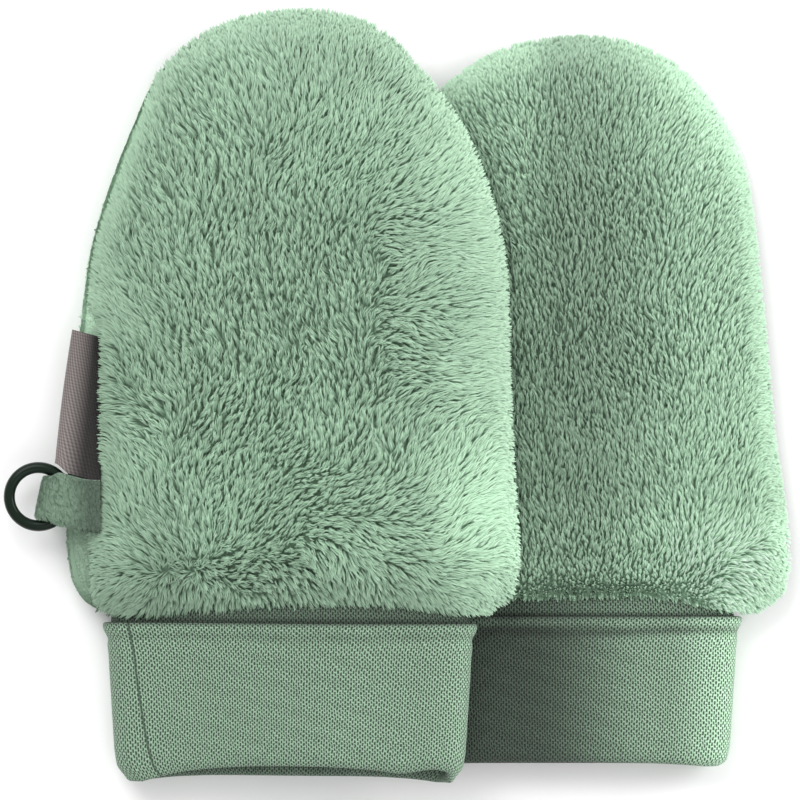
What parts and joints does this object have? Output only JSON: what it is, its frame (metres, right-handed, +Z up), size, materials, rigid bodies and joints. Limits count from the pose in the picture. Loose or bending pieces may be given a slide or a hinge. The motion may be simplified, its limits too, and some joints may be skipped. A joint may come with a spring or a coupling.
{
  "type": "pair of baby mittens",
  "caption": "Pair of thumbless plush baby mittens laid flat, one over the other, with turned-up knitted cuffs, a side label and a ring held in a fabric loop.",
  "frame": {"origin": "middle of the pair's bounding box, on the surface that it lies on", "axes": "+Z up from the surface, +Y from the cuffs to the fingertips, +X from the left mitten to the right one"},
  "size_m": [0.1636, 0.1598, 0.0271],
  "materials": {
    "plush": "long soft pile",
    "rib_knit": "fine matt knit",
    "fleece": "short soft pile",
    "woven_label": "satin twill",
    "ring_plastic": "glossy"
  },
  "bodies": {
    "mittens": {"left_front_panel": "plush", "left_back_panel": "plush", "left_cuff": "rib_knit", "right_front_panel": "plush", "right_back_panel": "plush", "right_cuff": "rib_knit", "hanging_loop": "fleece", "side_label": "woven_label"},
    "ring": {"hanging_ring": "ring_plastic"}
  },
  "joints": [
    {"name": "ring_spin", "type": "hinge", "parent": "mittens", "child": "ring", "pos_m": [-0.07465, -0.02164, 0.0074], "axis": [0, 0, 1], "continuous": true}
  ]
}
